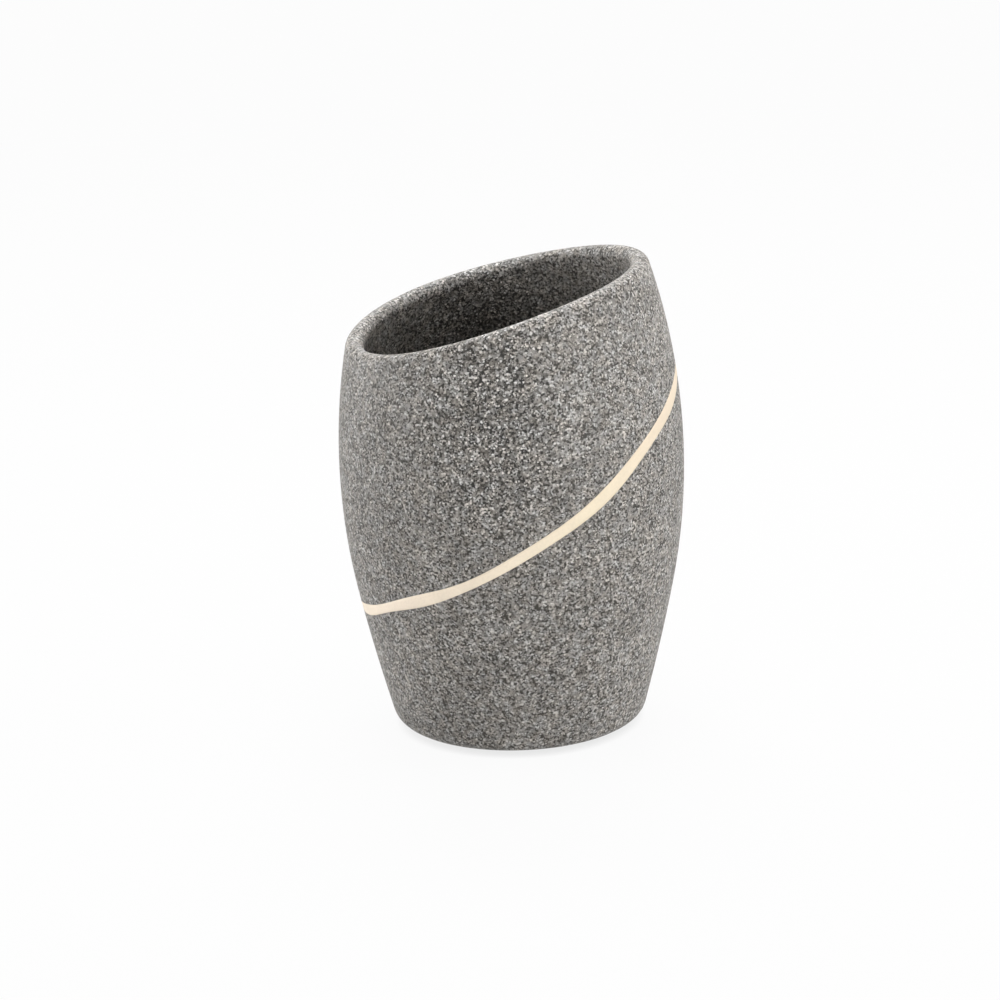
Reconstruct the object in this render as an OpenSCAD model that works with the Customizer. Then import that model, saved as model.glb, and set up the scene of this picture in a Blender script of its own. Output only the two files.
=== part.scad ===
// Bathroom tumbler: a cast stone-look barrel cup with a slanted mouth, a cream line
// let into its wall, and four soft pads under its base.
// The front looks towards -Y, the mouth rises towards +X, and the pads stand on z = 0.
// Angles round the cup are measured from the front towards +X.

/* [Barrel] */
// Diameter of the barrel at its widest
belly_d = 80; // [70:0.5:90]
// Height of the widest place above the underside
belly_h = 62.5; // [52:0.5:72]
// Radius of the long curve of the side, seen from the front
belly_curve_r = 150; // [120:1:220]
// Height where that curve runs into the straighter skirt below it
skirt_h = 32; // [24:0.5:40]
// Radius of the skirt's own, much flatter curve
skirt_curve_r = 480; // [320:5:600]
// Radius of the rounded edge that the barrel stands on
foot_r = 4; // [2:0.25:6]

/* [Inside] */
// Thickness of the wall
wall_t = 4.4; // [3.4:0.1:6]
// Thickness of the floor
floor_t = 6; // [4:0.25:9]
// Radius of the hollow's corner between wall and floor
well_r = 9; // [4:0.5:14]

/* [Mouth] */
// Height of the mouth on the centre line, above the underside
rim_h = 101.6; // [94:0.2:108]
// Angle by which the mouth rises towards +X, in degrees
rim_tilt = 14.4; // [8:0.2:18]
// Angle by which the way that it rises is turned towards the back
rim_turn = 2.5; // [0:0.5:6]
// How far the hand-ground mouth twists off a true plane
rim_twist_h = 0.6; // [0:0.05:1]
// Angle by which that twist is turned towards the front
rim_twist_turn = 10; // [0:1:20]
// Height of the three slight waves that the grinding left round the mouth
rim_wave_h = 0.25; // [0:0.05:0.4]

/* [Inlay band] */
// Height of the band's middle above the underside
band_h = 52.6; // [48:0.2:58]
// How far the band climbs and falls from its middle height
band_climb_h = 27.4; // [20:0.2:30]
// Depth of the slow wave that bends the band off a plain slanted loop
band_wave_h = 4.1; // [0:0.1:5]
// Turn of that wave round the cup, in degrees
band_wave_turn = 20.4; // [0:0.2:45]
// Mean width of the band along the wall
band_w = 2.7; // [1.8:0.1:4]
// How much wider the band is where it runs high, and narrower where it runs low
band_swell_w = 0.35; // [0:0.05:0.5]
// Depth of the ripples that the pouring by hand left in its width
band_ripple_w = 0.3; // [0:0.05:0.4]
// Number of those ripples round the cup
band_ripples = 4; // [2:1:6]
// Depth of the groove that the band fills
band_depth = 2; // [1.6:0.1:2.4]

/* [Foot pads] */
// Number of pads
pad_count = 4; // [3:1:6]
// Diameter of a pad
pad_d = 9; // [6:0.5:11]
// Thickness of a pad
pad_t = 1; // [0.6:0.1:2]
// Diameter of the circle that the pads' centres lie on
pad_ring_d = 36; // [30:0.5:40]
// Angle of the first pad from the front, in degrees
pad_turn = 45; // [0:1:90]

/* [Smoothness] */
// Number of steps round the cup in the lip and the groove
round_steps = 96; // [48:12:120]
// Number of flats across the rounded lip
lip_steps = 6; // [4:1:8]

/* [Hidden] */
$fn = 240;
long_curve_fn = 2160;
overrun = 1;
mouth_waves = 3;

stone_color = [0.50, 0.49, 0.48];
cream_color = [0.94, 0.87, 0.77];
pad_color = [0.16, 0.16, 0.17];

// The side is two arcs that run smoothly into each other: each point is [radius, height].
belly_centre = [belly_d / 2 - belly_curve_r, belly_h];
join_fall = belly_h - skirt_h;
join_out = sqrt(pow(belly_curve_r, 2) - pow(join_fall, 2));
join_dir = [join_out, -join_fall] / belly_curve_r;
skirt_centre = belly_centre - (skirt_curve_r - belly_curve_r) * join_dir;

// Height where the two arcs meet, on a surface that lies inset from the outside.
function join_z(inset) = belly_centre.y + (belly_curve_r - inset) * join_dir.y;

// Radius of that surface at a height above the underside.
function side_r(z, inset) =
    let (on_belly = z > join_z(inset))
    let (centre = on_belly ? belly_centre : skirt_centre)
    let (arc_r = (on_belly ? belly_curve_r : skirt_curve_r) - inset)
    centre.x + sqrt(pow(arc_r, 2) - pow(z - centre.y, 2));

// Unit vector that points straight out of the side at a height, as [radial, up].
function side_out(z, inset) =
    let (centre = z > join_z(inset) ? belly_centre : skirt_centre)
    let (away = [side_r(z, inset), z] - centre)
    away / norm(away);

// Height of the ground mouth over a place at some radius and angle.
function mouth_z(r, angle) =
    rim_h + tan(rim_tilt) * r * sin(angle - rim_turn)
    + rim_twist_h * sin(2 * (angle + rim_twist_turn)) + rim_wave_h * cos(mouth_waves * angle);

// Middle of the wall where the rounding of the lip is centred, found by a few refining steps.
lip_r = wall_t / 2;
refine_steps = 6;
function lip_z(angle, z = rim_h, step = refine_steps) =
    step == 0 ? z : lip_z(angle, mouth_z(side_r(z, lip_r), angle) - lip_r, step - 1);

// Height of the band's middle line at an angle round the cup, and how fast it climbs there.
function band_z(angle) =
    band_h + band_climb_h * sin(angle) - band_wave_h * cos(2 * (angle - band_wave_turn));
function band_climb(angle) =
    let (climb = band_climb_h * cos(angle) + 2 * band_wave_h * sin(2 * (angle - band_wave_turn)))
    climb / side_r(band_z(angle), 0);

// Width of the band there, and half the height that it takes up on the wall where it climbs.
function band_width(angle) =
    band_w + band_swell_w * sin(angle) - band_ripple_w * cos(band_ripples * angle);
function band_half_h(angle) =
    band_width(angle) / 2 * sqrt(1 + pow(band_climb(angle), 2));

// A point at some radius, angle and height.
function place(r, angle, z) = [r * sin(angle), -r * cos(angle), z];

function step_angle(i) = i * 360 / round_steps;

// Triangles between a loop of points and the next one.
function strip(from_row, to_row) = [
    for (i = [0:round_steps - 1])
        let (j = (i + 1) % round_steps)
        let (a = from_row * round_steps)
        let (b = to_row * round_steps)
        each [[a + i, b + j, a + j], [a + i, b + i, b + j]]
];

// Outline of a vessel whose side lies inset from the outside, with a rounded bottom corner.
module vessel_outline(inset, bottom_z, corner_r, top_z) {
    reach = skirt_curve_r - inset - corner_r;
    corner_z = bottom_z + corner_r;
    corner_x = skirt_centre.x + sqrt(pow(reach, 2) - pow(corner_z - skirt_centre.y, 2));
    corner_out = ([corner_x, corner_z] - skirt_centre) / reach;
    corner = [corner_x, corner_z];
    // End of the cut-off corner, past the side
    past = corner + (corner_r + overrun) * corner_out;
    difference() {
        union() {
            intersection() {
                translate(belly_centre) circle(r = belly_curve_r - inset, $fn = long_curve_fn);
                translate([0, join_z(inset)]) square([belly_d, top_z - join_z(inset)]);
            }
            intersection() {
                translate(skirt_centre) circle(r = skirt_curve_r - inset, $fn = long_curve_fn);
                translate([0, bottom_z]) square([belly_d, join_z(inset) - bottom_z]);
            }
        }
        polygon([
            corner, [corner.x, bottom_z - overrun],
            [past.x, bottom_z - overrun], past
        ]);
    }
    translate(corner) circle(r = corner_r);
}

barrel_top_z = mouth_z(belly_d / 2, 90) + overrun;

// Everything round the barrel that lies outside its wall.
module around_barrel() {
    rotate_extrude() difference() {
        square([belly_d, barrel_top_z]);
        vessel_outline(0, 0, foot_r, barrel_top_z);
    }
}

// The hollow barrel with its mouth still uncut.
module cup_blank() {
    rotate_extrude() difference() {
        vessel_outline(0, 0, foot_r, barrel_top_z);
        vessel_outline(wall_t, floor_t, well_r, barrel_top_z + overrun);
    }
}

// Angle either side of the lip's crest that its flats reach.
lip_reach = 75;

// A point of the lip's rounding, where across runs from -1 inside to 1 outside.
function lip_point(angle, across) =
    let (z = lip_z(angle))
    let (out = side_out(z, lip_r))
    let (up = [-out.y, out.x])
    let (turn = across * lip_reach)
    [side_r(z, lip_r), z] + lip_r * (sin(turn) * out + cos(turn) * up);

// The same, carried on past the wall at both ends in line with the last flat.
function lip_edge(angle, side) =
    let (end = lip_point(angle, side))
    let (before = lip_point(angle, side * (1 - 2 / lip_steps)))
    end + overrun * (end - before) / norm(end - before);
function lip_cut(angle, k) =
    k == 0 ? lip_edge(angle, -1) :
    k == lip_steps ? lip_edge(angle, 1) :
    lip_point(angle, 2 * k / lip_steps - 1);

// Everything above the slanted mouth, with an underside that leaves the lip round.
module mouth_cutter() {
    top_z = barrel_top_z + overrun;
    rows = lip_steps + 2;
    ring_points = [
        for (k = [0:lip_steps], i = [0:round_steps - 1])
            let (p = lip_cut(step_angle(i), k))
            place(p.x, step_angle(i), p.y)
    ];
    top_points = [for (i = [0:round_steps - 1]) place(belly_d / 2, step_angle(i), top_z)];
    low_centre = rows * round_steps;
    high_centre = low_centre + 1;
    points = concat(ring_points, top_points, [[0, 0, rim_h], [0, 0, top_z]]);
    underside = [
        for (i = [0:round_steps - 1]) [low_centre, i, (i + 1) % round_steps]
    ];
    top_row = (rows - 1) * round_steps;
    topside = [
        for (i = [0:round_steps - 1])
            [high_centre, top_row + (i + 1) % round_steps, top_row + i]
    ];
    sides = [for (k = [0:rows - 2]) each strip(k, k + 1)];
    polyhedron(points = points, faces = concat(underside, topside, sides), convexity = 4);
}

// The loop that cuts the groove, and that the band is cut from.
module band_loop() {
    corners = [[-1, -1], [1, -1], [1, 1], [-1, 1]];
    points = [
        for (c = corners, i = [0:round_steps - 1])
            let (angle = step_angle(i))
            let (z = band_z(angle) + c.y * band_half_h(angle))
            let (r = side_r(z, 0) + (c.x < 0 ? -band_depth : overrun))
            place(r, angle, z)
    ];
    faces = [for (k = [0:3]) each strip(k, (k + 1) % 4)];
    polyhedron(points = points, faces = faces, convexity = 4);
}

module body() {
    color(stone_color)
    translate([0, 0, pad_t])
    difference() {
        cup_blank();
        mouth_cutter();
        band_loop();
    }
}

module inlay_band() {
    color(cream_color)
    translate([0, 0, pad_t])
    difference() {
        band_loop();
        around_barrel();
    }
}

module foot_pad(i) {
    color(pad_color)
    translate(place(pad_ring_d / 2, pad_turn + (i - 1) * 360 / pad_count, 0))
    cylinder(d = pad_d, h = pad_t);
}

body();
inlay_band();
for (i = [1:pad_count])
    foot_pad(i);
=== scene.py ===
# %% [markdown]
# # A stone-look tumbler with an inlaid line
# This notebook dresses a bathroom tumbler. The real one is a single casting of resin and stone
# powder, shaped like a small barrel, with its mouth ground on a slant and a cream line let into
# the wall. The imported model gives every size, so the first step loads it and reads its corners.

import math

import bmesh
import bpy
from mathutils import Matrix, Vector


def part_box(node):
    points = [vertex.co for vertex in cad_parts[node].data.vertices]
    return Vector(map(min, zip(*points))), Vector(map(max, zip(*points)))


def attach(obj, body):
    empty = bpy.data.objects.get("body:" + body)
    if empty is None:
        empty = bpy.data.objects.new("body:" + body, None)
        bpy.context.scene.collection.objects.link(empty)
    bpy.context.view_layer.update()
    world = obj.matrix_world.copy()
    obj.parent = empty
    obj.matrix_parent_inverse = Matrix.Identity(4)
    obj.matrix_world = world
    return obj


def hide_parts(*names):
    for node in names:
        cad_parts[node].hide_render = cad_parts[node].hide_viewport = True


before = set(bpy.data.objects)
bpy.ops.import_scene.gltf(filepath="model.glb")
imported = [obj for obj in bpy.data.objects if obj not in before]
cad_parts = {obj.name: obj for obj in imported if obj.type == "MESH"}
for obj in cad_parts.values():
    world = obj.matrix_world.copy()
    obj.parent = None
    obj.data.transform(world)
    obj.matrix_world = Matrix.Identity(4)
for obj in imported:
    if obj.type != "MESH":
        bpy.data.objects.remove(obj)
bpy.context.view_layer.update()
MM = 0.001

# %% [markdown]
# ## The camera
# The photograph was taken from the front with a long lens, 16 to 17 degrees above level, and the
# picture leans a little to the left. A long lens flattens the shape, so the distance matters less
# than the angle. The camera is built from its own three axes, because a look-at helper would
# leave out the lean. It is moved sideways by a few millimetres, in place of a lens shift, so that
# the tumbler sits where it does in the picture.

# %% Camera
PICTURE_PX = 1000
SENSOR_MM = 36
# Height of the place on the cup's axis that the camera aims at, and where the picture shows it
AIM_MM = 55
AIM_PX = (512.8, 492.3)
PX_PER_MM = 4.294
CAMERA_AWAY_MM = 800
CAMERA_UP_DEG = 16.55
CAMERA_LEAN_DEG = 2.07
# Nearest and farthest that the camera sees, in metres
SEES_FROM, SEES_TO = 0.01, 20


def camera_axes(up_deg, lean_deg):
    up_turn = math.radians(up_deg)
    right = Vector((1, 0, 0))
    up = Vector((0, math.sin(up_turn), math.cos(up_turn)))
    look = Vector((0, math.cos(up_turn), -math.sin(up_turn)))
    c, s = math.cos(math.radians(lean_deg)), math.sin(math.radians(lean_deg))
    return c * right - s * up, s * right + c * up, look


right, up, look = camera_axes(CAMERA_UP_DEG, CAMERA_LEAN_DEG)
aside = (AIM_PX[0] - PICTURE_PX / 2) / PX_PER_MM
above = (PICTURE_PX / 2 - AIM_PX[1]) / PX_PER_MM
place = Vector((0, 0, AIM_MM)) - CAMERA_AWAY_MM * look - aside * right - above * up

lens = bpy.data.cameras.new("photo_camera")
lens.sensor_width = SENSOR_MM
lens.lens = PX_PER_MM * CAMERA_AWAY_MM * SENSOR_MM / PICTURE_PX
lens.clip_start, lens.clip_end = SEES_FROM, SEES_TO
camera = bpy.data.objects.new("photo_camera", lens)
turn = Matrix((right, up, -look)).transposed().to_4x4()
camera.matrix_world = Matrix.Translation(place * MM) @ turn
bpy.context.scene.collection.objects.link(camera)
bpy.context.scene.camera = camera
print("lens", round(lens.lens, 1), "mm, camera", round(place.z), "mm above the table")

# %% [markdown]
# ## The shape in a few formulas
# The side of the barrel is two arcs that run into each other, the mouth is a slanted plane with a
# slight twist and three faint waves from grinding by hand, and the band's middle line is a slow
# wave round the wall. The same few functions place the body and the band, so the two always fit.
# Heights are measured from the cup's underside, and angles from the front towards +X. The mouth
# is set a fiftieth of a millimetre low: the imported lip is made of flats, and a round one would
# stand proud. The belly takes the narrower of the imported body's two widths for the same reason.

# %% Sizes of the cup, in metres
body_low, body_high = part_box("body")
UNDERSIDE = body_low.z
BELLY_R = min(body_high.x - body_low.x, body_high.y - body_low.y) / 2
BELLY_H = 62.5 * MM
BELLY_CURVE_R = 150 * MM
SKIRT_H = 32 * MM
SKIRT_CURVE_R = 480 * MM
FOOT_R = 4 * MM
WALL_T = 4.4 * MM
FLOOR_T = 6 * MM
WELL_R = 9 * MM
RIM_H = 101.58 * MM
RIM_TILT = math.radians(14.4)
RIM_TURN = math.radians(2.5)
RIM_TWIST_H = 0.6 * MM
RIM_TWIST_TURN = math.radians(10)
RIM_WAVE_H = 0.25 * MM
RIM_WAVES = 3

belly_centre = Vector((BELLY_R - BELLY_CURVE_R, BELLY_H))
join_fall = BELLY_H - SKIRT_H
join_dir = Vector((math.sqrt(BELLY_CURVE_R**2 - join_fall**2), -join_fall)) / BELLY_CURVE_R
skirt_centre = belly_centre - (SKIRT_CURVE_R - BELLY_CURVE_R) * join_dir
print("the belly is", round(2 * BELLY_R / MM, 2), "mm across")


# %% The side
def side_arc(z, inset):
    """The arc that the wall follows at a height: its centre and its radius."""
    if z > belly_centre.y + (BELLY_CURVE_R - inset) * join_dir.y:
        return belly_centre, BELLY_CURVE_R - inset
    return skirt_centre, SKIRT_CURVE_R - inset


def side_r(z, inset=0.0):
    """Radius of the wall at a height, on a surface that lies inset from the outside."""
    centre, arc_r = side_arc(z, inset)
    return centre.x + math.sqrt(arc_r**2 - (z - centre.y) ** 2)


def side_out(z, inset):
    """Unit vector straight out of the wall, as radial and up."""
    centre, _ = side_arc(z, inset)
    return (Vector((side_r(z, inset), z)) - centre).normalized()


print("at the foot the wall is", round(2 * side_r(FOOT_R) / MM, 1), "mm across")

# %% The mouth
LIP_R = WALL_T / 2
REFINE_STEPS = 6
LEFT, RIGHT = -math.pi / 2, math.pi / 2


def mouth_z(r, angle):
    rise = math.tan(RIM_TILT) * r * math.sin(angle - RIM_TURN)
    twist = RIM_TWIST_H * math.sin(2 * (angle + RIM_TWIST_TURN))
    return RIM_H + rise + twist + RIM_WAVE_H * math.cos(RIM_WAVES * angle)


def lip_z(angle):
    """Height where the lip's rounding is centred, in the middle of the wall."""
    z = RIM_H
    for _ in range(REFINE_STEPS):
        z = mouth_z(side_r(z, LIP_R), angle) - LIP_R
    return z


left_h, right_h = [round((lip_z(angle) + LIP_R) / MM, 1) for angle in (LEFT, RIGHT)]
print("the lip lies", left_h, "mm above the underside on the left and", right_h, "on the right")

# %% [markdown]
# The band was poured by hand, so its width isn't even: it swells and narrows a few times on its
# way round and is wider where it runs high. Two sine terms are enough for that. Close up, each of
# its edges also wobbles by a fraction of a millimetre, and the upper edge doesn't follow the
# lower one, so each edge gets two small waves of its own.

# %% The band's path and width
BAND_H = 52.6 * MM
BAND_CLIMB_H = 27.4 * MM
BAND_WAVE_H = 4.1 * MM
BAND_WAVE_TURN = math.radians(20.4)
BAND_W = 2.7 * MM
BAND_SWELL_W = 0.35 * MM
BAND_RIPPLE_W = 0.3 * MM
BAND_RIPPLES = 4
BAND_DEPTH = 2 * MM
UPPER, LOWER = 1, -1
# Waves round the cup, height and turn of each wobble
WOBBLES = {UPPER: [(7, 0.1 * MM, 14), (9, 0.19 * MM, 75)],
           LOWER: [(8, 0.33 * MM, 76), (10, 0.2 * MM, -83)]}


def band_z(angle):
    return (BAND_H + BAND_CLIMB_H * math.sin(angle)
            - BAND_WAVE_H * math.cos(2 * (angle - BAND_WAVE_TURN)))


def band_half_h(angle):
    """Half the band's height, measured straight up, where it climbs along the wall."""
    bend = 2 * BAND_WAVE_H * math.sin(2 * (angle - BAND_WAVE_TURN))
    slope = (BAND_CLIMB_H * math.cos(angle) + bend) / side_r(band_z(angle))
    ripple = BAND_RIPPLE_W * math.cos(BAND_RIPPLES * angle)
    width = BAND_W + BAND_SWELL_W * math.sin(angle) - ripple
    return width / 2 * math.sqrt(1 + slope**2)


def band_edge(side, angle):
    wobble = sum(height * math.sin(waves * angle + math.radians(turn))
                 for waves, height, turn in WOBBLES[side])
    return band_z(angle) + side * band_half_h(angle) + wobble


def across_band(across, angle):
    """Height of a place between the lower edge, at -1, and the upper edge, at 1."""
    low, high = band_edge(LOWER, angle), band_edge(UPPER, angle)
    return low + (high - low) * (across + 1) / 2


every_degree = [math.radians(degree) for degree in range(360)]
heights = [(band_edge(UPPER, a) - band_edge(LOWER, a)) / MM for a in every_degree]
print("the band takes up", round(min(heights), 1), "to", round(max(heights), 1),
      "mm of the wall's height")


# %% [markdown]
# ## The body
# A plain lathe can't make this cup, because the mouth and the groove run at a slant while the
# foot stays level. A boolean cut would do it, but it leaves long thin faces that shade badly at
# the rounded lip. So the outline is spun first, with every ring of points marked by the stretch
# of the outline that it belongs to. Then each ring slides along the wall to its true
# place: level at the foot, parallel to the band at the groove, parallel to the mouth at the lip.

# %% The rounded corners of foot and well
def corner_arc(inset, bottom, corner_r):
    """Centre of a rounded bottom corner, and the turn at which it meets the wall."""
    reach = SKIRT_CURVE_R - inset - corner_r
    z = bottom + corner_r
    centre = Vector((skirt_centre.x + math.sqrt(reach**2 - (z - skirt_centre.y) ** 2), z))
    out = (centre - skirt_centre) / reach
    return centre, math.atan2(out.y, out.x)


def round_corner(centre, corner_r, end, share):
    turn = -math.pi / 2 + share * (end + math.pi / 2)
    return centre + corner_r * Vector((math.cos(turn), math.sin(turn)))


foot_centre, foot_end = corner_arc(0, 0, FOOT_R)
well_centre, well_end = corner_arc(WALL_T, FLOOR_T, WELL_R)
print("the cup's foot is flat to", round(foot_centre.x / MM, 1), "mm from its axis, its floor to",
      round(well_centre.x / MM, 1), "mm")

# %% The stretches of the outline
UNDER, FOOT, SKIRT, GROOVE, SHOULDER, LIP, INSIDE, WELL, FLOOR = range(9)
# Number of rings on each stretch
RINGS = {UNDER: 4, FOOT: 7, SKIRT: 20, GROOVE: 5, SHOULDER: 20,
         LIP: 14, INSIDE: 26, WELL: 9, FLOOR: 4}
# Corners of the groove: how far across it, from -1 to 1, and how deep, from 0 to 1
GROOVE_CORNERS = [(-1.0, 0.0), (-1.0, 1.0), (0.0, 1.0), (1.0, 1.0), (1.0, 0.0)]


def between(a, b, share):
    return a + (b - a) * share


def body_spot(stretch, share, angle):
    """Radius and height of a point of the outline, at an angle round the cup."""
    if stretch == UNDER:
        return Vector((foot_centre.x * share, 0))
    if stretch == FOOT:
        return round_corner(foot_centre, FOOT_R, foot_end, share)
    if stretch in (SKIRT, SHOULDER):
        foot_top = foot_centre.y + FOOT_R * math.sin(foot_end)
        lip = lip_z(angle) + LIP_R * side_out(lip_z(angle), LIP_R).y
        if stretch == SKIRT:
            z = between(foot_top, band_edge(LOWER, angle), share)
        else:
            z = between(band_edge(UPPER, angle), lip, share)
        return Vector((side_r(z), z))
    if stretch == GROOVE:
        across, deep = GROOVE_CORNERS[round(share * (len(GROOVE_CORNERS) - 1))]
        z = across_band(across, angle)
        return Vector((side_r(z) - deep * BAND_DEPTH, z))
    if stretch == LIP:
        z = lip_z(angle)
        out = side_out(z, LIP_R)
        turn = math.pi / 2 - share * math.pi
        above = Vector((-out.y, out.x))
        rounding = math.sin(turn) * out + math.cos(turn) * above
        return Vector((side_r(z, LIP_R), z)) + LIP_R * rounding
    if stretch == INSIDE:
        top = lip_z(angle) - LIP_R * side_out(lip_z(angle), LIP_R).y
        well_top = well_centre.y + WELL_R * math.sin(well_end)
        z = between(top, well_top, share)
        return Vector((side_r(z, WALL_T), z))
    if stretch == WELL:
        return round_corner(well_centre, WELL_R, well_end, 1 - share)
    return Vector((well_centre.x * (1 - share), FLOOR_T))


print("the outline has", sum(RINGS.values()), "points before its doubles are left out")

# %% [markdown]
# Points that two stretches share are left out of the second one, so that the outline has no
# doubles. After the spin, the angle of a point is read back from its own place, and the two
# marks that it carries say where on the outline it belongs.

# %% Spin the outline and slide its rings
TURNS = 288
# Lengths, in metres, under which two places count as one, and two points are merged
SAME_PLACE = 1e-7
MERGE_REACH = 1e-6


def marked_outline(bm, rings, spot):
    """A chain of edges in the plane of the front, each point marked with its stretch and share."""
    stretch_mark = bm.verts.layers.int.new("stretch")
    share_mark = bm.verts.layers.float.new("share")
    chain = []
    for stretch, count in rings.items():
        for i in range(count):
            share = i / (count - 1)
            r, z = spot(stretch, share, 0.0)
            if chain and (chain[-1].co - Vector((0, -r, z))).length < SAME_PLACE:
                continue
            point = bm.verts.new((0, -r, z))
            point[stretch_mark], point[share_mark] = stretch, share
            chain.append(point)
    edges = [bm.edges.new(pair) for pair in zip(chain, chain[1:])]
    return chain, edges


def spin_and_slide(bm, verts, edges, spot, low):
    """Spins the outline into a closed skin, then slides every ring to its true place."""
    bmesh.ops.spin(bm, geom=verts + edges, cent=(0, 0, 0), axis=(0, 0, 1), dvec=(0, 0, 0),
                   angle=math.tau, steps=TURNS, use_merge=True)
    bmesh.ops.remove_doubles(bm, verts=bm.verts, dist=MERGE_REACH)
    stretch_mark = bm.verts.layers.int["stretch"]
    share_mark = bm.verts.layers.float["share"]
    for v in bm.verts:
        angle = math.atan2(v.co.x, -v.co.y)
        r, z = spot(v[stretch_mark], v[share_mark], angle)
        v.co = (r * math.sin(angle), -r * math.cos(angle), z + low)
    bmesh.ops.recalc_face_normals(bm, faces=bm.faces)


def finish_piece(name, bm, material_slot, *nodes):
    """Turns the working mesh into a named piece of the tumbler that stands for its CAD nodes."""
    mesh = bpy.data.meshes.new(name)
    open_edges = sum(not e.is_manifold for e in bm.edges)
    bm.to_mesh(mesh)
    bm.free()
    mesh.shade_smooth()
    piece = bpy.data.objects.new(name, mesh)
    bpy.context.scene.collection.objects.link(piece)
    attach(piece, "root")
    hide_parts(*nodes)
    print(name, len(mesh.polygons), "faces,", open_edges, "open edges")
    return piece


# %% Cup
# Edges that bend more than this stay sharp, as the corners of the groove do
SHARP_ANGLE = math.radians(40)

bm = bmesh.new()
outline, outline_edges = marked_outline(bm, RINGS, body_spot)
spin_and_slide(bm, outline, outline_edges, body_spot, UNDERSIDE)
for edge in bm.edges:
    edge.smooth = edge.calc_face_angle() < SHARP_ANGLE
cup = finish_piece("cup", bm, "granite_resin", "body")

# %% [markdown]
# ## The inlay band
# On the real cup the band is cream resin poured into the groove and ground flush. It is made the
# same way as the body: a small closed outline is spun and slid along the band's path. Its outer
# face follows the barrel's curve. Its long edges have a tiny chamfer, and a gap much thinner than
# a hair parts it from the groove: together they show the joint between two materials up close.

# %% Band
BAND_GAP = 0.015 * MM
# The band's outline is a single stretch
WHOLE_BAND = 0
# Points of the outline: how far across the band, from -1 to 1, and how deep, from 0 to 1
BAND_OUTLINE = [(-1, 0.5), (-1, 0.04), (-0.97, 0.0), (-0.5, 0.0), (0, 0.0), (0.5, 0.0),
                (0.97, 0.0), (1, 0.04), (1, 0.5), (1, 1.0), (0, 1.0), (-1, 1.0)]


def band_spot(_, share, angle):
    across, deep = BAND_OUTLINE[round(share * (len(BAND_OUTLINE) - 1))]
    z = across_band(across, angle) - across * BAND_GAP
    return Vector((side_r(z) - deep * (BAND_DEPTH - BAND_GAP), z))


bm = bmesh.new()
outline, outline_edges = marked_outline(bm, {WHOLE_BAND: len(BAND_OUTLINE)}, band_spot)
outline_edges.append(bm.edges.new((outline[-1], outline[0])))
spin_and_slide(bm, outline, outline_edges, band_spot, UNDERSIDE)
band = finish_piece("band", bm, "cream_resin", "inlay_band")

# %% [markdown]
# ## The foot pads
# Four foam dots keep the cup from sliding and scratching. Each one is a short cylinder, and a
# bevel wears both of its rims round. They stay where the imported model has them, so each one reads
# its centre and its height from its own CAD node.

# %% Pads
PAD_SIDES = 48
PAD_EDGE_R = 0.3 * MM
PAD_EDGE_STEPS = 4
PAD_INSET_SHARE = 0.25


def make_pad(node):
    low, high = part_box(node)
    middle = (low + high) / 2
    pad_r = (high.x - low.x) / 2
    bm = bmesh.new()
    bmesh.ops.create_cone(bm, cap_ends=True, segments=PAD_SIDES, radius1=pad_r, radius2=pad_r,
                          depth=high.z - low.z, matrix=Matrix.Translation(middle))
    rims = [e for e in bm.edges if abs(e.verts[0].co.z - e.verts[1].co.z) < SAME_PLACE]
    bmesh.ops.bevel(bm, geom=rims, offset=PAD_EDGE_R, offset_type="OFFSET", segments=PAD_EDGE_STEPS,
                    profile=0.5, affect="EDGES", clamp_overlap=True, material=-1)
    caps = [f for f in bm.faces if len(f.verts) > 4]
    for cap in caps:
        bmesh.ops.inset_region(bm, faces=[cap], thickness=pad_r * PAD_INSET_SHARE,
                               use_even_offset=True)
    return finish_piece(node.replace("foot_", ""), bm, "pad_foam", node)


pads = [make_pad(node) for node in sorted(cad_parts) if node.startswith("foot_pad")]

# %% [markdown]
# ## Materials
# Every finish is made of nodes that read Object coordinates, so the grain is solid: it runs
# through the wall like real stone and doesn't stretch where the wall curves. A few small helpers
# keep the node code short. The first one makes a node, sets its plain values, and links what it
# is given. The others are the nodes that the finishes use again and again.

# %% Node helpers
def add_node(tree, kind, links=None, **settings):
    node = tree.nodes.new(kind)
    for name, value in settings.items():
        setattr(node, name, value)
    for socket, value in (links or {}).items():
        target = node.inputs[socket]
        if isinstance(value, bpy.types.NodeSocket):
            tree.links.new(value, target)
        else:
            target.default_value = value
    return node


def new_material(name):
    material = bpy.data.materials.new(name)
    material.use_nodes = True
    tree = material.node_tree
    shader = tree.nodes["Principled BSDF"]
    coordinates = add_node(tree, "ShaderNodeTexCoord").outputs["Object"]
    return material, tree, shader, coordinates


def vector_math(tree, operation, a, b):
    return add_node(tree, "ShaderNodeVectorMath", {0: a, 1: b}, operation=operation).outputs[0]


def length(tree, vector):
    return add_node(tree, "ShaderNodeVectorMath", {0: vector}, operation="LENGTH").outputs["Value"]


def noise(tree, coordinates, size, detail):
    """Soft random clouds of a real size, as their grey level and their colour."""
    texture = add_node(tree, "ShaderNodeTexNoise",
                       {"Vector": coordinates, "Scale": 1 / size, "Detail": detail})
    return texture.outputs["Fac"], texture.outputs["Color"]


def cells(tree, coordinates, size):
    """Closely packed cells: three random values of each one, and the way to its middle."""
    texture = add_node(tree, "ShaderNodeTexVoronoi", {"Vector": coordinates, "Scale": 1 / size})
    channels = add_node(tree, "ShaderNodeSeparateColor", {"Color": texture.outputs["Color"]})
    return channels.outputs, texture.outputs["Distance"]


# %% Node helpers for values and colours
def map_range(tree, value, before, after):
    """Turns one range of values into another, and holds what lies past its ends."""
    return add_node(tree, "ShaderNodeMapRange",
                    {"Value": value, "From Min": before[0], "From Max": before[1],
                     "To Min": after[0], "To Max": after[1]}).outputs[0]


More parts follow.
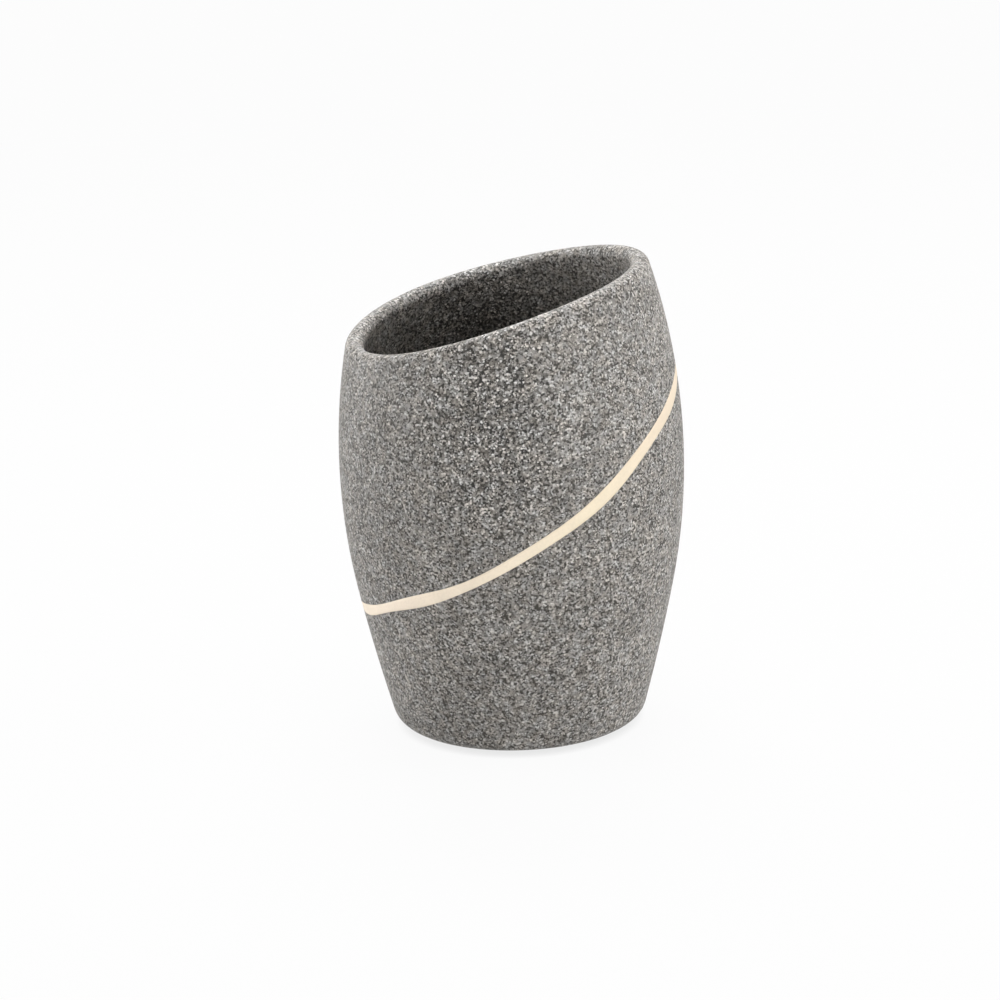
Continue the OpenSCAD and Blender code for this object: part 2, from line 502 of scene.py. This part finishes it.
def ramp(tree, fac, stops, interpolation="LINEAR"):
    """A colour ramp from pairs of position and grey level or colour."""
    node = add_node(tree, "ShaderNodeValToRGB", {"Fac": fac})
    colours = node.color_ramp
    colours.interpolation = interpolation
    while len(colours.elements) < len(stops):
        colours.elements.new(1.0)
    for element, (position, colour) in zip(colours.elements, stops):
        element.position = position
        element.color = (*colour, 1) if isinstance(colour, tuple) else (colour, colour, colour, 1)
    return node.outputs["Color"]


def mix_colour(tree, share, a, b, blend="MIX"):
    """Mixes two colours. The node has sockets for every kind of value: 6 and 7 are its colours."""
    return add_node(tree, "ShaderNodeMix", {0: share, 6: a, 7: b},
                    data_type="RGBA", blend_type=blend).outputs[2]


def multiply(tree, a, b):
    return mix_colour(tree, 1.0, a, b, "MULTIPLY")


def surface_finish(tree, shader, colour, rough, height, strength, distance):
    """Gives the shader its colour, its roughness and a fine relief."""
    tree.links.new(colour, shader.inputs["Base Color"])
    tree.links.new(rough, shader.inputs["Roughness"])
    bump = add_node(tree, "ShaderNodeBump",
                    {"Height": height, "Strength": strength, "Distance": distance})
    tree.links.new(bump.outputs["Normal"], shader.inputs["Normal"])


# %% [markdown]
# ### Granite look
# Close up, the casting is a grey paste full of dark and pale chips, half a millimetre across or
# less. A noise texture would give soft blots, while Voronoi cells are chips already, since each
# cell has random values of its own. Here one pattern of cells makes the chips and a finer one the
# grit between them. The first random value gives a chip its tone, and the second one decides
# whether it shows. The coordinates are bent a little first, or the chips would have straight
# sides.

# %% Chips and grit
CHIP_SIZE = 0.43 * MM
GRIT_SIZE = 0.28 * MM
CHIP_BEND = 0.05 * MM
BEND_DETAIL = 2.0
MID_GREY = (0.5, 0.5, 0.5)
CHIPS_THAT_SHOW = 0.7
CHIP_TONE = [(0.0, 0.006), (0.25, 0.012), (0.35, 0.07), (0.5, 0.17),
             (0.72, 0.3), (0.86, 0.52), (1.0, 1.0)]
GRIT_TONE = [(0.0, 0.012), (0.25, 0.05), (0.5, 0.15), (0.8, 0.33), (1.0, 0.85)]


def bent_coordinates(tree, coordinates, size, amount):
    _, colour = noise(tree, coordinates, size, BEND_DETAIL)
    centred = vector_math(tree, "SUBTRACT", colour, MID_GREY)
    shift = add_node(tree, "ShaderNodeVectorMath", {0: centred, "Scale": 2 * amount},
                     operation="SCALE").outputs[0]
    return vector_math(tree, "ADD", coordinates, shift)


def chips_in_grit(tree, coordinates):
    """The grey of the mix, the way to each chip's middle, and a random value per grain of grit."""
    bent = bent_coordinates(tree, coordinates, CHIP_SIZE, CHIP_BEND)
    chip, chip_middle = cells(tree, bent, CHIP_SIZE)
    grit, _ = cells(tree, coordinates, GRIT_SIZE)
    shows = ramp(tree, chip[1], [(0.0, 1.0), (CHIPS_THAT_SHOW, 0.0)], "CONSTANT")
    grey = mix_colour(tree, shows, ramp(tree, grit[0], GRIT_TONE), ramp(tree, chip[0], CHIP_TONE))
    return grey, chip_middle, grit[1]


# %% [markdown]
# The mix isn't even, as in a real pour. High in the middle of the front the contrast is strongest
# and the stone is a little deeper in tone. A gamma about the stone's middle tone sets the
# contrast: above 1 it spreads dark and pale, and below 1 it draws them together. Both effects
# fade out with the distance from one place, measured in shares of a reach across and a reach up.

# %% The dense place
STONE_TONE = (0.206, 0.206, 0.206, 1)
DENSE_SPOT = (-4.2 * MM, 0, 83 * MM)
DENSE_REACH_ACROSS = 18 * MM
DENSE_REACH_UP = 30 * MM
# Shares of the reach between which each effect fades, and its values at those two places
CONTRAST_FADE, CONTRAST = (1.0, 0.2), (0.61, 1.06)
DEPTH_FADE, DEPTH = (0.9, 0.1), (1.0, 0.66)


def strengthen_grain(tree, coordinates, grey):
    off = vector_math(tree, "SUBTRACT", coordinates, DENSE_SPOT)
    shares = (1 / DENSE_REACH_ACROSS, 0, 1 / DENSE_REACH_UP)
    away = length(tree, vector_math(tree, "MULTIPLY", off, shares))
    ratio = mix_colour(tree, 1.0, grey, STONE_TONE, "DIVIDE")
    contrast = map_range(tree, away, CONTRAST_FADE, CONTRAST)
    spread = add_node(tree, "ShaderNodeGamma", {"Color": ratio, "Gamma": contrast}).outputs[0]
    deeper = map_range(tree, away, DEPTH_FADE, DEPTH)
    return multiply(tree, multiply(tree, spread, STONE_TONE), deeper)


# %% [markdown]
# The colour comes last. The stone is a little warm, and its dark chips are the warmest in
# proportion, so a ramp picks the tint by the grey itself. Patches of about two millimetres are
# warmer or cooler than the rest, and wide soft clouds vary the tone.

# %% Granite
STONE_TINT = [(0.0, (1.13, 0.983, 0.77)), (0.05, (1.087, 0.988, 0.854)),
              (0.1, (1.066, 0.991, 0.89)), (0.21, (1.049, 0.993, 0.919)),
              (0.6, (1.035, 0.995, 0.947))]
PATCH_SIZE = 2 * MM
PATCH_DETAIL = 1.0
PATCH_TINT = [(0.35, (0.98, 1.005, 1.035)), (0.65, (1.02, 0.995, 0.965))]
CLOUD_SIZE = 9 * MM
CLOUD_DETAIL = 3.0
CLOUD_TONE = [(0.3, 0.89), (0.7, 1.15)]
STONE_SHEEN = 0.4
WHOLE_RANGE = (0.0, 1.0)
STONE_ROUGH = (0.5, 0.72)
# How strongly the chips stand out, and how high
CHIP_RELIEF, CHIP_RELIEF_H = 0.35, 0.06 * MM


def granite():
    material, tree, shader, coordinates = new_material("granite_resin")
    grey, chip_middle, grit_value = chips_in_grit(tree, coordinates)
    stone = strengthen_grain(tree, coordinates, grey)
    stone = multiply(tree, stone, ramp(tree, stone, STONE_TINT))
    patches, _ = noise(tree, coordinates, PATCH_SIZE, PATCH_DETAIL)
    stone = multiply(tree, stone, ramp(tree, patches, PATCH_TINT))
    clouds, _ = noise(tree, coordinates, CLOUD_SIZE, CLOUD_DETAIL)
    stone = multiply(tree, stone, ramp(tree, clouds, CLOUD_TONE))
    shader.inputs["Specular IOR Level"].default_value = STONE_SHEEN
    rough = map_range(tree, grit_value, WHOLE_RANGE, STONE_ROUGH)
    surface_finish(tree, shader, stone, rough, chip_middle, CHIP_RELIEF, CHIP_RELIEF_H)
    return material


cup.data.materials.append(granite())
print("the cup is made of", cup.data.materials[0].name)

# %% [markdown]
# ### Cream resin
# The band is plain cream with only a faint change of tone of its own, and its surface is as matte
# as the cup's, because both were ground in one pass. The photograph shows it equally pale from end
# to end, although the cup's right side is lit more strongly, so painted shade darkens the cream
# towards the right, and again at the very left, where a lamp grazes the wall. Object X gives the
# place along the band.

# %% Cream
# Cream colour with painted shade: deeper towards the right and at the very left, where the lamps
# light the band more
CREAM_AND_PAINTED_SHADE = [(0.0, (0.88, 0.76, 0.61)), (0.09, (1.0, 0.86, 0.7)), (0.5, (0.92, 0.8, 0.63)),
         (0.75, (0.81, 0.7, 0.52)), (1.0, (0.71, 0.6, 0.46))]
PAINTED_SHADE_ENDS = (-35 * MM, 35 * MM)
CREAM_CLOUD_SIZE, CREAM_CLOUD_DETAIL = 7 * MM, 3.0
CREAM_CLOUD_TONE = [(0.3, 0.96), (0.7, 1.03)]
CREAM_SPECK_SIZE, CREAM_SPECK_DETAIL = 0.5 * MM, 2.0
CREAM_SPECK_TONE = [(0.25, 0.94), (0.6, 1.0)]
CREAM_ROUGH = (0.5, 0.68)
CREAM_RELIEF, CREAM_RELIEF_H = 0.15, 0.05 * MM


def cream():
    material, tree, shader, coordinates = new_material("cream_resin")
    place_x = add_node(tree, "ShaderNodeSeparateXYZ", {"Vector": coordinates}).outputs["X"]
    along = map_range(tree, place_x, PAINTED_SHADE_ENDS, WHOLE_RANGE)
    clouds, _ = noise(tree, coordinates, CREAM_CLOUD_SIZE, CREAM_CLOUD_DETAIL)
    specks, _ = noise(tree, coordinates, CREAM_SPECK_SIZE, CREAM_SPECK_DETAIL)
    colour = multiply(tree, ramp(tree, along, CREAM_AND_PAINTED_SHADE), ramp(tree, clouds, CREAM_CLOUD_TONE))
    colour = multiply(tree, colour, ramp(tree, specks, CREAM_SPECK_TONE))
    rough = map_range(tree, specks, WHOLE_RANGE, CREAM_ROUGH)
    surface_finish(tree, shader, colour, rough, specks, CREAM_RELIEF, CREAM_RELIEF_H)
    return material


band.data.materials.append(cream())
print("the band is made of", band.data.materials[0].name)

# %% [markdown]
# ### Pad foam
# The pads are nearly black foam, full of tiny closed bubbles. Where the surface cuts a bubble,
# it leaves a round pit, which a noise texture doesn't have. So Voronoi cells are used again: the
# middle of each cell is lower and rougher than its edge, and painted shade makes it darker.

# %% Foam
BUBBLE_SIZE = 0.25 * MM
# Painted shade: the middle of each pit is darker, standing for the shade inside it
FOAM_TONE_AND_PIT_SHADE = [(0.0, 0.012), (0.6, 0.035)]
FOAM_ROUGH = (0.95, 0.75)
FOAM_RELIEF, FOAM_RELIEF_H = 0.5, 0.05 * MM


def foam():
    material, tree, shader, coordinates = new_material("pad_foam")
    _, bubble_middle = cells(tree, coordinates, BUBBLE_SIZE)
    tone = ramp(tree, bubble_middle, FOAM_TONE_AND_PIT_SHADE)
    rough = map_range(tree, bubble_middle, WHOLE_RANGE, FOAM_ROUGH)
    surface_finish(tree, shader, tone, rough, bubble_middle, FOAM_RELIEF, FOAM_RELIEF_H)
    return material


foam_material = foam()
for pad in pads:
    pad.data.materials.append(foam_material)
print("the pads are made of", foam_material.name)

# %% [markdown]
# ## The floor
# The photograph is a product shot on plain white. The floor is one flat square, far wider than
# the picture. It lies a hair below the pads, or the two faces would flicker through each other.

# %% Floor
FLOOR_HALF = 4.0
FLOOR_SQUARES = 4
FLOOR_DROP = 0.01 * MM

bm = bmesh.new()
bmesh.ops.create_grid(bm, x_segments=FLOOR_SQUARES, y_segments=FLOOR_SQUARES, size=FLOOR_HALF,
                      matrix=Matrix.Translation((0, 0, -FLOOR_DROP)))
floor_mesh = bpy.data.meshes.new("floor")
bm.to_mesh(floor_mesh)
bm.free()
floor = bpy.data.objects.new("floor", floor_mesh)
bpy.context.scene.collection.objects.link(floor)
print("the floor is", 2 * FLOOR_HALF, "m wide")

# %% [markdown]
# White in the picture comes from the floor's own glow for camera rays, not from more light on
# the cup, so the cup keeps its tones. A part of the floor still reflects light, and that part is
# what shows the cup's soft shadow. Where the base nearly touches the floor, the gap is dark, so
# a painted contact shadow dims the glow there by how closed in each place is, which ambient
# occlusion measures.
# Farther out the floor turns into the white of the world behind it, so no horizon and no pool of
# lamplight shows in a view from the side.

# %% White floor
FLOOR_GREY = (0.5, 0.5, 0.5, 1)
FLOOR_GLOW = 0.95
NEAR_WHITE, FAR_WHITE = 1.0, 0.975
FADE = (0.2, 0.8)
PAINTED_SHADOW_REACH = 2.5 * MM
# Painted contact shadow: the floor's glow is darkened where the base is close above it
PAINTED_CONTACT_SHADOW = [(0.0, 0.78), (0.7, 1.0)]
CONTACT_SAMPLES = 4


def math_node(tree, operation, a, b):
    return add_node(tree, "ShaderNodeMath", {0: a, 1: b}, operation=operation).outputs[0]


def seen_directly(tree):
    """1 for camera, mirror and see-through rays, 0 for light that bounces about."""
    path = add_node(tree, "ShaderNodeLightPath").outputs
    either = math_node(tree, "MAXIMUM", path["Is Camera Ray"], path["Is Glossy Ray"])
    return math_node(tree, "MAXIMUM", either, path["Is Transmission Ray"])


def floor_white():
    material = bpy.data.materials.new("floor_white")
    material.use_nodes = True
    tree = material.node_tree
    tree.nodes.clear()
    soft = add_node(tree, "ShaderNodeBsdfDiffuse", {"Color": FLOOR_GREY}).outputs[0]
    open_above = add_node(tree, "ShaderNodeAmbientOcclusion", {"Distance": PAINTED_SHADOW_REACH},
                          samples=CONTACT_SAMPLES).outputs["AO"]
    glow_with_painted_shadow = ramp(tree, open_above, PAINTED_CONTACT_SHADOW)
    away = length(tree, add_node(tree, "ShaderNodeTexCoord").outputs["Object"])
    white = map_range(tree, away, FADE, (NEAR_WHITE, FAR_WHITE))
    glow = add_node(tree, "ShaderNodeEmission", {"Color": glow_with_painted_shadow, "Strength": white}).outputs[0]
    glow_share = map_range(tree, away, FADE, (FLOOR_GLOW, 1.0))
    share = math_node(tree, "MULTIPLY", seen_directly(tree), glow_share)
    surface = add_node(tree, "ShaderNodeMixShader", {0: share, 1: soft, 2: glow}).outputs[0]
    add_node(tree, "ShaderNodeOutputMaterial", {"Surface": surface})
    return material


floor_mesh.materials.append(floor_white())
print("the floor is made of", floor_mesh.materials[0].name)

# %% [markdown]
# ## The light
# The inside of the mouth is dark in the photograph, so most of the light comes in low: light from
# a height would reach down into the cup. Five soft boxes stand round it near table height,
# strongest at the front right and behind the left side, and leave the middle of the front a
# little darker than its edges. Two boxes higher up light the lip and the shoulder. The one behind
# the cup gives the front lip its pale crest, which parts the outer wall from the dark hollow.

# %% Lights
# Name, degrees round from the front and up, distance, width and height in metres, and watts
SOFT_BOXES = [
    ("front_right", 45, 4, 2.5, 0.5, 0.4, 28.4),
    ("front_left", -14, 4, 2.5, 0.5, 0.4, 7.6),
    ("left", -60, 5, 2.5, 0.6, 0.6, 12),
    ("behind_left", -110, 5, 2.5, 0.8, 0.8, 36),
    ("right", 90, 15, 1.2, 0.7, 1.0, 7.8),
    ("overhead", 0, 85, 1.2, 0.8, 0.8, 12.5),
    ("above_behind", 180, 55, 1.2, 0.8, 0.5, 14),
]


def soft_box(name, around_deg, up_deg, away, width, height, power):
    """A flat lamp that looks at the cup, placed by its angle from the front and above the table."""
    light = bpy.data.lights.new(name, "AREA")
    light.shape = "RECTANGLE"
    light.size, light.size_y = width, height
    light.energy = power
    a, e = math.radians(around_deg), math.radians(up_deg)
    where = Vector((math.sin(a) * math.cos(e), -math.cos(a) * math.cos(e), math.sin(e))) * away
    where.z += AIM_MM * MM
    lamp = bpy.data.objects.new(name, light)
    facing = where.to_track_quat("Z", "Y").to_matrix().to_4x4()
    lamp.matrix_world = Matrix.Translation(where) @ facing
    bpy.context.scene.collection.objects.link(lamp)


for box in SOFT_BOXES:
    soft_box(*box)
print(len(SOFT_BOXES), "soft boxes give", round(sum(box[-1] for box in SOFT_BOXES), 1), "watts")

# %% [markdown]
# The world behind the floor has the same white, but only for rays that see it directly, as those
# of the camera and of reflections do. For light that bounces about it is black, because a white
# world would also light the dark hollow from above. The Standard view shows tones as they are.

# %% World
WHITE = (1, 1, 1, 1)

world = bpy.data.worlds.new("studio")
bpy.context.scene.world = world
world.use_nodes = True
tree = world.node_tree
tree.nodes.clear()
dark = add_node(tree, "ShaderNodeBackground", {"Color": WHITE, "Strength": 0.0}).outputs[0]
white = add_node(tree, "ShaderNodeBackground", {"Color": WHITE, "Strength": FAR_WHITE}).outputs[0]
sky = add_node(tree, "ShaderNodeMixShader", {0: seen_directly(tree), 1: dark, 2: white}).outputs[0]
add_node(tree, "ShaderNodeOutputWorld", {"Surface": sky})
bpy.context.scene.view_settings.view_transform = "Standard"
print("the world is", world.name)
